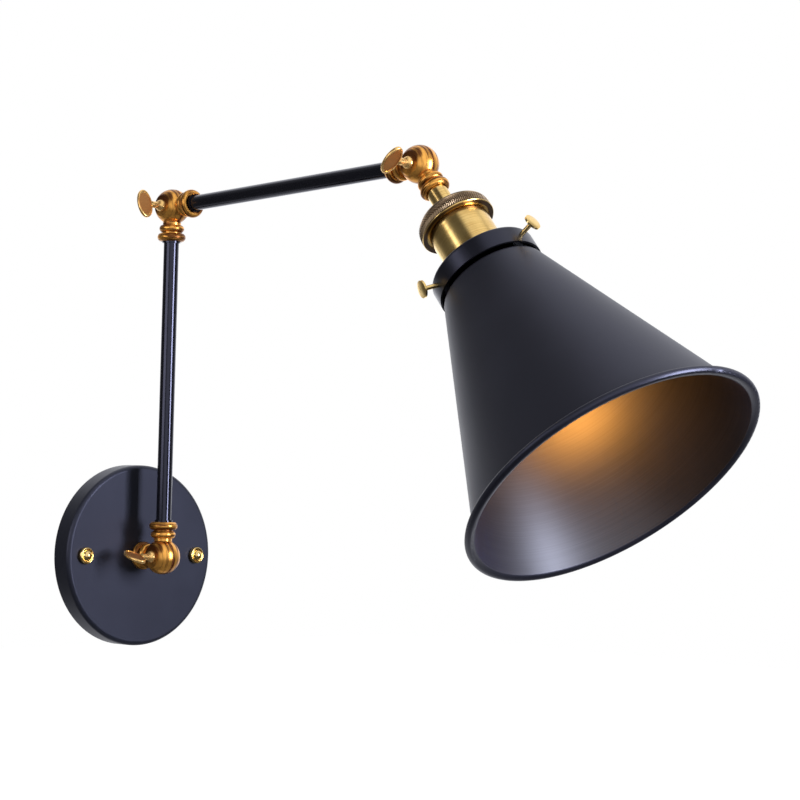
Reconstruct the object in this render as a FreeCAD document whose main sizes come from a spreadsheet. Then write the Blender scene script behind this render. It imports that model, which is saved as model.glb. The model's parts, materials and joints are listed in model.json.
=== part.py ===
import FreeCAD, Part
import os
import re

import Sketcher

# Swing arm wall lamp: a round canopy, two arms of equal length and a conical metal shade, joined by three
# ball-shaped knuckles that are each clamped by an oval thumbscrew.
# Millimetres, +Z up. The wall is the plane Y = 0 and the lamp reaches towards -Y, with the origin on the wall
# at the centre of the canopy. Every knuckle hinges about an axis parallel to X.

SIZES = {
    # Canopy, the pan that covers the wiring at the wall
    "canopy_radius": 64.5,
    "canopy_depth": 16.0,
    "canopy_wall": 1.2,
    "canopy_edge": 3.0,
    # Crossbar behind the canopy, with the screws that hold the canopy on it
    "crossbar_width": 20.0,
    "crossbar_thickness": 2.0,
    "crossbar_entry_radius": 6.0,
    "wall_screw_spacing": 70.0,
    "wall_screw_hole_radius": 2.25,
    "cap_nut_spacing": 100.0,
    "stud_radius": 2.0,
    "stud_engagement": 3.5,
    "cap_nut_radius": 5.9,
    "cap_nut_flange": 1.6,
    "cap_nut_dome_radius": 5.2,
    "cap_nut_dome_height": 6.4,
    # Wiring inside the canopy
    "terminal_length": 18.0,
    "terminal_depth": 8.5,
    "terminal_height": 13.0,
    "terminal_offset": 20.0,
    "terminal_pitch": 9.0,
    "terminal_screw_radius": 1.6,
    "terminal_screw_sink": 0.6,
    "terminal_screw_inset": 3.2,
    "fixing_screw_radius": 1.2,
    "fixing_head_radius": 2.1,
    "fixing_head_height": 1.5,
    "earth_screw_offset": 20.0,
    "earth_screw_radius": 1.9,
    "earth_head_radius": 3.6,
    "earth_head_height": 2.4,
    "lead_radius": 1.1,
    "lead_bend": 3.2,
    "lead_rise": 12.0,
    "lead_step": 3.2,
    "lead_grip": 4.0,
    # Threaded tube that carries the base knuckle and is used again as the lamp holder's stem
    "tube_radius": 5.0,
    "tube_bore": 3.5,
    "nipple_tail": 2.0,
    "lock_nut_radius": 8.0,
    "lock_nut_height": 3.0,
    "lock_washer_radius": 9.5,
    "lock_washer_thickness": 1.0,
    # Knuckle: a ball split across the hinge axis, each half with a turned collar
    "ball_radius": 12.5,
    "neck_length": 0.7,
    "neck_radius": 6.4,
    "small_bead_radius": 8.8,
    "small_bead_width": 5.0,
    "groove_radius": 6.8,
    "groove_width": 0.8,
    "large_bead_radius": 10.0,
    "large_bead_width": 5.6,
    "bead_fullness": 0.55,
    "socket_depth": 10.0,
    "recess_radius": 7.3,
    "recess_depth": 2.0,
    "wire_bore": 3.0,
    "wire_ring_radius": 7.4,
    "wire_ring_depth": 5.0,
    "screw_boss_radius": 3.6,
    "friction_washer_thickness": 0.8,
    "friction_washer_inset": 0.5,
    "knuckle_gap": 0.35,
    # Arms
    "arm_length": 249.0,
    "arm_rise": 2.6,
    "arm_tube_radius": 5.4,
    "arm_tube_bore": 4.0,
    "flex_radius": 3.1,
    "lock_ring_radius": 6.4,
    "lock_ring_width": 3.4,
    # Thumbscrews of the knuckles
    "thumbscrew_radius": 2.0,
    "thumbscrew_reach": 6.5,
    "thumbscrew_seat": 2.5,
    "thumbscrew_boss_radius": 4.3,
    "thumbscrew_boss_length": 3.6,
    "thumbscrew_boss_round": 4.7,
    "thumbscrew_neck_radius": 2.4,
    "wing_distance": 25.0,
    "wing_half_width": 10.3,
    "wing_half_length": 6.2,
    "wing_thickness": 2.4,
    "wing_round": 0.8,
    "wing_rim": 1.6,
    "wing_dish": 0.35,
    "wing_bite": 1.2,
    "base_wing_turn": 20.0,
    "elbow_wing_turn": 74.0,
    "head_wing_turn": -47.0,
    # Head: tilt below the horizontal, then lengths along the head axis
    "head_tilt": 49.6,
    "holder_neck_length": 12.4,
    "holder_cap_height": 18.5,
    "holder_cap_radius": 24.6,
    "holder_cap_top_radius": 7.6,
    "holder_neck_radius": 6.9,
    "holder_cap_slope": 30.0,
    "holder_cap_round": 8.0,
    "holder_cap_wall": 1.3,
    "holder_lip_width": 1.6,
    "holder_lip_height": 0.9,
    "shell_radius": 20.2,
    "shell_step": 1.0,
    "shell_wall": 0.8,
    "shell_exposed": 32.5,
    "shell_tail": 11.5,
    "shell_collar_height": 3.0,
    "insulator_floor": 11.0,
    "insulator_recess": 1.5,
    "screw_shell_wall": 0.6,
    "screw_shell_inset": 3.0,
    "screw_shell_radius": 13.9,
    "contact_radius": 4.0,
    "contact_height": 2.4,
    "gallery_radius": 35.2,
    "gallery_height": 13.0,
    "gallery_wall": 1.4,
    "gallery_round": 2.2,
    "shade_nut_radius": 24.6,
    "shade_nut_height": 5.0,
    # Shade, spun sheet with a turned-out lip
    "shade_neck_radius": 28.5,
    "shade_wall": 0.8,
    "shade_neck_lip": 1.6,
    "shade_neck_room": 0.8,
    "shade_gap": 0.6,
    "shade_shoulder": 4.8,
    "shade_shoulder_round": 7.5,
    "shade_ledge": 0.8,
    "shade_top_radius": 35.3,
    "shade_height": 155.1,
    "shade_edge_radius": 97.9,
    "shade_lip_width": 5.0,
    "shade_edge_round": 2.4,
    # Thumbscrews of the shade gallery
    "gallery_screw_radius": 1.5,
    "gallery_screw_reach": 11.6,
    "gallery_screw_head_radius": 5.6,
    "gallery_screw_head_edge": 1.3,
    "gallery_screw_head_crown": 0.7,
    "gallery_screw_turn": 86.0,
    # Bulb with an Edison screw cap
    "bulb_cap_radius": 13.0,
    "bulb_cap_length": 22.5,
    "bulb_cap_wall": 0.5,
    "bulb_tip_radius": 4.6,
    "bulb_tip_length": 1.8,
    "bulb_radius": 30.0,
    "bulb_swell": 48.0,
    "bulb_length": 77.0,
    "bulb_wall": 0.8,
    "bulb_neck_length": 10.0,
    "bulb_seat": 3.0,
    "bulb_stem_radius": 4.6,
    "bulb_stem_tip_radius": 1.6,
    "bulb_stem_length": 34.0,
    "filament_ring_radius": 10.0,
    "filament_wire_radius": 0.6,
    # Fits
    "thread_fit": 0.05,
    "face_fit": 0.02,
    "hole_fit": 0.3,
}

SCREW_COUNT = 3
SIDES = {"left": "-1", "right": "1"}

doc = FreeCAD.newDocument("swing_arm_wall_lamp")
sheet = doc.addObject("Spreadsheet::Sheet", "Dims")
for row, (alias, size) in enumerate(SIZES.items(), start=1):
    sheet.set(f"A{row}", alias)
    sheet.set(f"B{row}", str(size))
    sheet.setAlias(f"B{row}", alias)
doc.recompute()

NODES = []
ALONG_X = FreeCAD.Vector(1, 0, 0)
ALONG_Y = FreeCAD.Vector(0, 1, 0)
ALONG_Z = FreeCAD.Vector(0, 0, 1)


def bound(formula):
    """Write a formula of size names as an expression on the sheet."""
    return re.sub(r"[a-z_]+", lambda m: f"Dims.{m.group()}" if m.group() in SIZES else m.group(), formula)


def value(formula):
    """Work a formula of size names out as a number."""
    return float(sheet.evalExpression(bound(formula)))


def bind(obj, **formulas):
    for name, formula in formulas.items():
        obj.setExpression(name, bound(formula))
    return obj


def place(obj, x="0", y="0", z="0", angle="0", axis=ALONG_X):
    """Put an object at a point, turned by an angle about an axis; the point and the angle are formulas."""
    obj.Placement = FreeCAD.Placement(FreeCAD.Vector(), FreeCAD.Rotation(axis, value(angle)))
    for name, formula in zip("xyz", (x, y, z)):
        obj.setExpression(f"Placement.Base.{name}", bound(formula))
    if value(angle):
        obj.setExpression("Placement.Rotation.Angle", bound(angle))
    return obj


def node(obj, label, frame):
    """Name a finished sub-part and put it in one of the lamp's frames."""
    obj.Label = label
    NODES.append(place(obj, **frame))
    return obj


# Frames. In each, local Z runs along the piece's own axis, from the wall or from a ball's centre.

COLLAR = "(ball_radius + neck_length + small_bead_width + groove_width + large_bead_width)"
BASE_Y = f"-(canopy_depth + {COLLAR})"
ELBOW_Z = "arm_length"
HEAD_Y = f"({BASE_Y} - arm_length * cos(arm_rise))"
HEAD_Z = "(arm_length + arm_length * sin(arm_rise))"

WALL = {"angle": "90"}
BASE_TO_WALL = {"y": BASE_Y, "angle": "-90"}
BASE_BALL = {"y": BASE_Y}
LOWER_ARM = {"y": BASE_Y}
ELBOW_TO_LOWER = {"y": BASE_Y, "z": ELBOW_Z, "angle": "180"}
ELBOW_BALL = {"y": BASE_Y, "z": ELBOW_Z}
UPPER_ARM = {"y": BASE_Y, "z": ELBOW_Z, "angle": "90 - arm_rise"}
HEAD_TO_UPPER = {"y": HEAD_Y, "z": HEAD_Z, "angle": "270 - arm_rise"}
HEAD_BALL = {"y": HEAD_Y, "z": HEAD_Z}
HEAD = {"y": HEAD_Y, "z": HEAD_Z, "angle": "90 + head_tilt"}


# Sketches and solids

def pin_point(sketch, element, corner, x, y):
    """Fix one end of a sketch element at a place given by two formulas."""
    for kind, formula, axis in (("DistanceX", x, -2), ("DistanceY", y, -1)):
        size = value(formula)
        if abs(size) < 1e-9:
            sketch.addConstraint(Sketcher.Constraint("PointOnObject", element, corner, axis))
            continue
        ends = (-1, 1, element, corner) if size > 0 else (element, corner, -1, 1)
        index = sketch.addConstraint(Sketcher.Constraint(kind, *ends, abs(size)))
        sketch.setExpression(f"Constraints[{index}]", bound(formula if size > 0 else f"-({formula})"))


def bent_edge(start, end, radius, left):
    """An arc between two points, bulging to the left or the right of the way from start to end."""
    chord = end - start
    side = FreeCAD.Vector(-chord.y, chord.x, 0).normalize() * (1 if left else -1)
    sagitta = radius - (radius ** 2 - (chord.Length / 2) ** 2) ** 0.5
    centre = start + chord * 0.5 + side * (sagitta - radius)
    circle = Part.Circle(centre, FreeCAD.Vector(0, 0, 1), radius)
    angles = [circle.parameter(point) for point in ((end, start) if left else (start, end))]
    return Part.ArcOfCircle(circle, *angles)


def outline(sketch, points):
    """Draw a closed outline. A point is (x, y), or (x, y, radius, side) where an arc leads to it."""
    corners = [FreeCAD.Vector(value(p[0]), value(p[1]), 0) for p in points]
    count = len(points)
    first = sketch.GeometryCount
    starts = []
    ends = []
    for i, point in enumerate(points):
        start = corners[i - 1]
        if len(point) == 2:
            sketch.addGeometry(Part.LineSegment(start, corners[i]))
            starts.append(1)
            ends.append(2)
            continue
        left = point[3] == "left"
        sketch.addGeometry(bent_edge(start, corners[i], value(point[2]), left))
        starts.append(2 if left else 1)
        ends.append(1 if left else 2)
    for i, point in enumerate(points):
        after = (i + 1) % count
        meeting = (first + i, ends[i], first + after, starts[after])
        sketch.addConstraint(Sketcher.Constraint("Coincident", *meeting))
        pin_point(sketch, first + i, ends[i], point[0], point[1])
        if len(point) > 2:
            index = sketch.addConstraint(Sketcher.Constraint("Radius", first + i, value(point[2])))
            sketch.setExpression(f"Constraints[{index}]", bound(point[2]))


def hole(sketch, x, y, radius):
    centre = FreeCAD.Vector(value(x), value(y), 0)
    element = sketch.addGeometry(Part.Circle(centre, FreeCAD.Vector(0, 0, 1), value(radius)))
    pin_point(sketch, element, 3, x, y)
    index = sketch.addConstraint(Sketcher.Constraint("Radius", element, value(radius)))
    sketch.setExpression(f"Constraints[{index}]", bound(radius))


def new_sketch(label, plane):
    body = doc.addObject("PartDesign::Body", label)
    sketch = body.newObject("Sketcher::SketchObject", f"{label}_sketch")
    support = [f for f in body.Origin.OriginFeatures if f.Role == plane]
    sketch.AttachmentSupport = [(support[0], "")]
    sketch.MapMode = "FlatFace"
    return body, sketch


def crown_round(radius, rise):
    """Radius of the ball that a shallow round crown is part of."""
    return f"(({radius}) ^ 2 + ({rise}) ^ 2) / (2 * ({rise}))"


def turned(label, points, axis="V_Axis"):
    """A lathe-turned piece: an outline of (radius, height) points spun about local Z, or of (length, radius)
    points spun about local X."""
    body, sketch = new_sketch(label, "XZ_Plane")
    outline(sketch, points)
    doc.recompute()
    spin = body.newObject("PartDesign::Revolution", f"{label}_spin")
    spin.Profile = sketch
    spin.ReferenceAxis = (sketch, [axis])
    spin.Angle = 360
    return body


def plate(label, points, holes, thickness):
    """A flat piece cut to an outline with round holes."""
    body, sketch = new_sketch(label, "XY_Plane")
    outline(sketch, points)
    for x, y, radius in holes:
        hole(sketch, x, y, radius)
    doc.recompute()
    pad = body.newObject("PartDesign::Pad", f"{label}_pad")
    pad.Profile = sketch
    bind(pad, Length=thickness)
    return body


def rod(label, radius, length, x="0", y="0", z="0", angle="0", axis=ALONG_Y):
    cylinder = bind(doc.addObject("Part::Cylinder", label), Radius=radius, Height=length)
    return place(cylinder, x, y, z, angle, axis)


def rod_along_x(label, radius, length, x):
    return rod(label, radius, length, x=x, angle="90")


def block(label, length, width, height, x, y, z):
    box = bind(doc.addObject("Part::Box", label), Length=length, Width=width, Height=height)
    return place(box, x, y, z)


def joined(label, pieces):
    fuse = doc.addObject("Part::MultiFuse", label)
    fuse.Shapes = pieces
    return fuse


def cut(label, base, tools):
    """Take the tools out of a base one after another."""
    for step, tool in enumerate(tools, start=1):
        result = doc.addObject("Part::Cut", f"{label}_{step}")
        result.Base = base
        result.Tool = tool
        base = result
    return base


def group(label, pieces):
    compound = doc.addObject("Part::Compound", label)
    compound.Links = pieces
    return compound


def sleeve(label, bore, radius, start, length):
    """A plain ring about local Z."""
    end = f"{start} + {length}"
    return turned(label, [(radius, start), (radius, end), (bore, end), (bore, start)])


# Canopy and what holds it to the wall

STUD_X = "cap_nut_spacing / 2"
INNER_FACE = "(canopy_depth - canopy_wall)"


def canopy():
    inner = "(canopy_radius - canopy_wall)"
    turn_in = "(canopy_radius - canopy_edge)"
    bore = "tube_radius + hole_fit"
    pan = turned("canopy_pan", [
        ("canopy_radius", "0"),
        ("canopy_radius", "canopy_depth - canopy_edge"),
        (turn_in, "canopy_depth", "canopy_edge", "right"),
        (bore, "canopy_depth"),
        (bore, INNER_FACE),
        (turn_in, INNER_FACE),
        (inner, "canopy_depth - canopy_edge", "canopy_edge - canopy_wall", "left"),
        (inner, "0"),
    ])
    holes = [
        rod(f"canopy_hole_{side}", "stud_radius + hole_fit", "canopy_depth * 2", x=f"{sign} * {STUD_X}")
        for side, sign in SIDES.items()
    ]
    node(cut("canopy_cut", pan, holes), "canopy", WALL)


def mounting_crossbar():
    half = "crossbar_width / 2"
    contour = [
        (f"-{STUD_X}", f"-{half}", half, "right"),
        (STUD_X, f"-{half}"),
        (f"{STUD_X} + {half}", "0", half, "right"),
        (STUD_X, half, half, "right"),
        (f"-{STUD_X}", half),
        (f"-{STUD_X} - {half}", "0", half, "right"),
    ]
    holes = [
        ("0", "0", "crossbar_entry_radius"),
        ("terminal_offset", "0", "fixing_screw_radius + thread_fit"),
        ("-earth_screw_offset", "0", "earth_screw_radius + thread_fit"),
    ]
    for sign in SIDES.values():
        holes.append((f"{sign} * {STUD_X}", "0", "stud_radius + thread_fit"))
        holes.append((f"{sign} * wall_screw_spacing / 2", "0", "wall_screw_hole_radius"))
    node(plate("crossbar", contour, holes, "crossbar_thickness"), "mounting_crossbar", WALL)


def canopy_studs():
    studs = [
        rod(f"stud_{side}", "stud_radius", "canopy_depth + stud_engagement", x=f"{sign} * {STUD_X}")
        for side, sign in SIDES.items()
    ]
    node(group("studs", studs), "canopy_studs", WALL)


def cap_nuts():
    bore = "stud_radius + thread_fit"
    crown = "(canopy_depth + cap_nut_flange + cap_nut_dome_height)"
    nuts = []
    for side, sign in SIDES.items():
        nut = turned(f"cap_nut_{side}", [
            (bore, "canopy_depth"),
            ("cap_nut_radius", "canopy_depth"),
            ("cap_nut_radius", "canopy_depth + cap_nut_flange"),
            ("cap_nut_dome_radius", "canopy_depth + cap_nut_flange"),
            ("cap_nut_dome_radius", f"{crown} - cap_nut_dome_radius"),
            ("0", crown, "cap_nut_dome_radius", "right"),
            ("0", "canopy_depth + stud_engagement + hole_fit"),
            (bore, "canopy_depth + stud_engagement + hole_fit"),
        ])
        nuts.append(place(nut, x=f"{sign} * {STUD_X}"))
    node(group("nuts", nuts), "canopy_cap_nuts", WALL)


# Threaded tube through the canopy, with its washer and nut

NUT_STACK = "(lock_washer_thickness + lock_nut_height + nipple_tail)"
NIPPLE_BACK = f"({INNER_FACE} - {NUT_STACK})"


def canopy_nipple():
    length = f"canopy_wall + {NUT_STACK} + socket_depth - hole_fit"
    node(sleeve("nipple", "tube_bore", "tube_radius", NIPPLE_BACK, length), "canopy_nipple", WALL)
    washer_back = f"({INNER_FACE} - lock_washer_thickness)"
    bore = "tube_radius + thread_fit"
    washer = sleeve("washer", bore, "lock_washer_radius", washer_back, "lock_washer_thickness")
    node(washer, "nipple_washer", WALL)
    nut = hex_nut("nipple_nut", f"{washer_back} - lock_nut_height")
    node(nut, "nipple_lock_nut", WALL)


def hex_nut(label, start):
    hexagon = bind(doc.addObject("Part::Prism", f"{label}_hex"), Circumradius="lock_nut_radius",
                   Height="lock_nut_height")
    hexagon.Polygon = 6
    place(hexagon, z=start)
    bore = rod(f"{label}_bore", "tube_radius + thread_fit", "lock_nut_height * 3",
               z=f"{start} - lock_nut_height")
    return cut(label, hexagon, [bore])


# Wiring inside the canopy

TERMINAL_FRONT = "(crossbar_thickness + terminal_depth)"
LEAD_PLANE = "(crossbar_thickness + terminal_depth / 2)"
POLES = {"near": "(terminal_offset - terminal_pitch / 2)", "far": "(terminal_offset + terminal_pitch / 2)"}


def terminal_block():
    body = block("terminal_body", "terminal_length", "terminal_height", "terminal_depth",
                 "terminal_offset - terminal_length / 2", "-terminal_height / 2", "crossbar_thickness")
    head_seat = f"({TERMINAL_FRONT} - fixing_head_height)"
    screw_end = f"({LEAD_PLANE} + lead_radius + face_fit)"
    tools = [
        rod("fixing_bore", "fixing_screw_radius + thread_fit", "terminal_depth * 2", x="terminal_offset"),
        rod("fixing_well", "fixing_head_radius + thread_fit", "terminal_depth", x="terminal_offset",
            z=head_seat),
    ]
    screws = []
    for pole, x in POLES.items():
        tools.append(rod(f"entry_{pole}", "lead_radius + hole_fit", "terminal_height * 2", x=x,
                         y="-terminal_height", z=LEAD_PLANE, angle="-90", axis=ALONG_X))
        for side, sign in SIDES.items():
            y = f"{sign} * (terminal_height / 2 - terminal_screw_inset)"
            tools.append(rod(f"screw_well_{pole}_{side}", "terminal_screw_radius + thread_fit",
                             "terminal_depth", x=x, y=y, z=LEAD_PLANE))
            screws.append(rod(f"screw_{pole}_{side}", "terminal_screw_radius",
                              f"{TERMINAL_FRONT} - terminal_screw_sink - {screw_end}", x=x, y=y, z=screw_end))
    node(cut("terminal_cut", body, tools), "terminal_block", WALL)
    node(group("terminal_screw_set", screws), "terminal_screws", WALL)
    fixing = turned("fixing", [
        ("0", "0"),
        ("fixing_screw_radius", "0"),
        ("fixing_screw_radius", head_seat),
        ("fixing_head_radius", head_seat),
        ("fixing_head_radius", TERMINAL_FRONT),
        ("0", TERMINAL_FRONT),
    ])
    node(group("fixing_at", [place(fixing, x="terminal_offset")]), "terminal_fixing_screw", WALL)


def earth_screw():
    head_round = crown_round("earth_head_radius", "earth_head_height / 2")
    screw = turned("earth", [
        ("0", "0"),
        ("earth_screw_radius", "0"),
        ("earth_screw_radius", "crossbar_thickness"),
        ("earth_head_radius", "crossbar_thickness"),
        ("earth_head_radius", "crossbar_thickness + earth_head_height / 2"),
        ("0", "crossbar_thickness + earth_head_height", head_round, "right"),
    ])
    node(group("earth_at", [place(screw, x="-earth_screw_offset")]), "earth_screw", WALL)


def canopy_leads():
    """Two insulated leads from the threaded tube, over the top of the terminal block and down into it."""
    plane = value(LEAD_PLANE)
    bend = value("lead_bend")
    grip = value("lead_grip")
    top = value("terminal_height / 2")
    pieces = []
    for lane, (pole, sign) in enumerate(zip(POLES.values(), (1, -1))):
        start = sign * (value("lead_radius") + value("hole_fit") / 2)
        height = value("lead_rise") + lane * value("lead_step")
        route = [
            FreeCAD.Vector(start, 0, value(NIPPLE_BACK) + grip),
            FreeCAD.Vector(start, 0, plane),
            FreeCAD.Vector(start, height, plane),
            FreeCAD.Vector(value(pole), height, plane),
            FreeCAD.Vector(value(pole), top - grip, plane),
        ]
        pieces.append(bent_rod(route, bend, value("lead_radius")))
    leads = doc.addObject("Part::Feature", "leads")
    leads.Shape = Part.makeCompound(pieces)
    node(leads, "canopy_leads", WALL)


def bent_rod(route, bend, radius):
    """A round wire along straight runs that meet at right angles in arcs of one bend radius."""
    edges = []
    last = route[0]
    for before, corner, after in zip(route, route[1:], route[2:]):
        way_in = (before - corner).normalize()
        way_out = (after - corner).normalize()
        first = corner + way_in * bend
        second = corner + way_out * bend
        centre = corner + (way_in + way_out) * bend
        middle = centre + (corner - centre).normalize() * bend
        edges.append(Part.makeLine(last, first))
        edges.append(Part.Arc(first, middle, second).toShape())
        last = second
    edges.append(Part.makeLine(last, route[-1]))
    path = Part.Wire(edges)
    section = Part.Wire(Part.makeCircle(radius, route[0], route[1] - route[0]))
    return path.makePipeShell([section], True, False)


# Knuckles

HALF_GAP = "(friction_washer_thickness / 2 + face_fit)"
SOCKET_END = f"({COLLAR} - socket_depth)"
SMALL_BEAD = "(ball_radius + neck_length)"
GROOVE = f"({SMALL_BEAD} + small_bead_width)"
LARGE_BEAD = f"({GROOVE} + groove_width)"
BEAD_RISE = "(bead_fullness - sqrt(bead_fullness ^ 2 - (1 / 2) ^ 2))"


def collar(label):
    """Solid of the turned collar with its two beads, from the ball's centre outwards."""
    small_edge = f"small_bead_radius - small_bead_width * {BEAD_RISE}"
    large_edge = f"large_bead_radius - large_bead_width * {BEAD_RISE}"
    return turned(label, [
        ("0", "0"),
        ("neck_radius", "0"),
        ("neck_radius", SMALL_BEAD),
        (small_edge, SMALL_BEAD),
        (small_edge, GROOVE, "small_bead_width * bead_fullness", "right"),
        ("groove_radius", GROOVE),
        ("groove_radius", LARGE_BEAD),
        (large_edge, LARGE_BEAD),
        (large_edge, COLLAR, "large_bead_width * bead_fullness", "right"),
        ("0", COLLAR),
    ])


def ball(label, radius):
    """A ball whose poles lie on the hinge axis."""
    return place(bind(doc.addObject("Part::Sphere", label), Radius=radius), angle="90", axis=ALONG_Y)


def knuckle_half(label, frame, holds_screw_head, socket):
    """Half of a ball with its collar along local Z. The half on the side of -X takes the thumbscrew's head,
    the other half its thread. A ring of room about the screw lets the leads pass between the collars, and
    each collar is bored for a tube of the socket's radius."""
    room_size = "(ball_radius + knuckle_gap)"
    side = f"(4 * {room_size})"
    start = f"-{HALF_GAP}" if holds_screw_head else f"{HALF_GAP} - {side}"
    other_side = block(f"{label}_side", side, side, side, start, f"-{side} / 2", f"-{side} / 2")
    room = doc.addObject("Part::Common", f"{label}_room")
    room.Base = ball(f"{label}_sweep", room_size)
    room.Tool = other_side
    ring_x = f"-{HALF_GAP} - wire_ring_depth" if holds_screw_head else HALF_GAP
    ring_out = rod_along_x(f"{label}_ring_out", "wire_ring_radius", "wire_ring_depth", ring_x)
    ring_in = rod_along_x(f"{label}_ring_in", "screw_boss_radius", "wire_ring_depth", ring_x)
    ring = cut(f"{label}_ring", ring_out, [ring_in])
    wire_start = "(wire_ring_radius + screw_boss_radius) / 2"
    tools = [
        room,
        ring,
        rod(f"{label}_wire", "wire_bore", f"{COLLAR} - {wire_start}", z=wire_start),
        rod(f"{label}_socket", f"{socket} + thread_fit", "socket_depth * 2", z=SOCKET_END),
        rod(f"{label}_recess", "recess_radius", "recess_depth * 2", z=f"{COLLAR} - recess_depth"),
    ]
    screw_bore = "thumbscrew_radius + thread_fit"
    if holds_screw_head:
        tools.append(rod_along_x(f"{label}_bore", screw_bore, "ball_radius", "-ball_radius"))
        tools.append(rod_along_x(f"{label}_seat", "ball_radius", "thumbscrew_seat", "-ball_radius"))
    else:
        tools.append(rod_along_x(f"{label}_thread", screw_bore, "thumbscrew_reach + hole_fit", "0"))
    whole = joined(f"{label}_whole", [ball(f"{label}_ball", "ball_radius"), collar(f"{label}_collar")])
    node(cut(f"{label}_cut", whole, tools), label, frame)


def friction_washer(label, frame):
    outer = rod_along_x(f"{label}_out", "ball_radius - friction_washer_inset", "friction_washer_thickness",
                        "-friction_washer_thickness / 2")
    inner = rod_along_x(f"{label}_in", "wire_ring_radius", "friction_washer_thickness * 2",
                        "-friction_washer_thickness")
    node(cut(f"{label}_cut", outer, [inner]), label, frame)


def oval_plate(label, inset, start, thickness):
    """A plate of a thumbscrew wing's outline, drawn in from its edge by an inset."""
    oval = bind(doc.addObject("Part::Ellipse", f"{label}_oval"), MajorRadius=f"wing_half_width - {inset}",
                MinorRadius=f"wing_half_length - {inset}")
    place(oval, x="-wing_distance", z=start, angle="90", axis=ALONG_Z)
    wing = bind(doc.addObject("Part::Extrusion", label), LengthFwd=thickness)
    wing.Base = oval
    wing.DirMode = "Custom"
    wing.Dir = FreeCAD.Vector(0, 0, 1)
    wing.Solid = True
    return wing


def thumbscrew(label, frame, wing_turn):
    """Oval thumbscrew along -X: a threaded shank, a turned boss that clamps the ball, and a dished wing."""
    seat = "(ball_radius - thumbscrew_seat + face_fit)"
    boss_end = f"({seat} + thumbscrew_boss_length)"
    wing_edge = "(wing_distance - wing_half_length)"
    shank = turned(f"{label}_shank", [
        ("thumbscrew_reach", "0"),
        ("thumbscrew_reach", "thumbscrew_radius"),
        (f"-{seat}", "thumbscrew_radius"),
        (f"-{seat}", "thumbscrew_boss_radius"),
        (f"-{boss_end}", "thumbscrew_neck_radius", "thumbscrew_boss_round", "right"),
        (f"-{wing_edge}", "thumbscrew_neck_radius"),
        (f"-{wing_edge} - wing_bite", "wing_thickness / 2"),
        (f"-{wing_edge} - wing_bite", "0"),
    ], axis="H_Axis")
    wing = oval_plate(f"{label}_wing", "0", "-wing_thickness / 2", "wing_thickness")
    doc.recompute()
    rounded = doc.addObject("Part::Fillet", f"{label}_rounded")
    rounded.Base = wing
    round_size = value("wing_round")
    rims = [i for i, edge in enumerate(wing.Shape.Edges, start=1) if edge.isClosed()]
    rounded.Edges = [(i, round_size, round_size) for i in rims]
    dishes = [
        oval_plate(f"{label}_dish_front", "wing_rim", "wing_thickness / 2 - wing_dish", "wing_thickness"),
        oval_plate(f"{label}_dish_back", "wing_rim", "-3 * wing_thickness / 2 + wing_dish", "wing_thickness"),
    ]
    dished = cut(f"{label}_dished", rounded, dishes)
    node(joined(f"{label}_whole", [shank, dished]), label, {**frame, "angle": wing_turn})


# Arms

TUBE_START = f"({SOCKET_END} + face_fit)"


def arm_tube(name, frame):
    length = f"arm_length - 2 * {TUBE_START}"
    pipe = sleeve(f"{name}_pipe", "arm_tube_bore", "arm_tube_radius", TUBE_START, length)
    node(pipe, f"{name}_tube", frame)
    flex = rod(f"{name}_cable", "flex_radius", length, z=TUBE_START)
    node(group(f"{name}_cable_at", [flex]), f"{name}_flex", frame)
    ring_starts = {
        "first": f"({COLLAR} - recess_depth)",
        "second": f"(arm_length - {COLLAR} + recess_depth - lock_ring_width)",
    }
    ring_bore = "arm_tube_radius + thread_fit"
    rings = [
        sleeve(f"{name}_ring_{end}", ring_bore, "lock_ring_radius", start, "lock_ring_width")
        for end, start in ring_starts.items()
    ]
    node(group(f"{name}_rings", rings), f"{name}_lock_rings", frame)


# Head. Stations along the head axis, from the centre of the head ball.

CAP_TOP = f"({COLLAR} + holder_neck_length)"
CAP_END = f"({CAP_TOP} + holder_cap_height)"
GALLERY_TOP = f"({CAP_END} + shell_exposed)"
GALLERY_END = f"({GALLERY_TOP} + gallery_height)"
SHELL_END = f"({GALLERY_TOP} + shell_tail)"
SHELL_TOP = f"({CAP_END} - holder_lip_height - face_fit - shell_collar_height)"
INSULATOR_END = f"({SHELL_END} - insulator_recess)"
INSULATOR_BED = f"({SHELL_TOP} + insulator_floor)"


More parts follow.
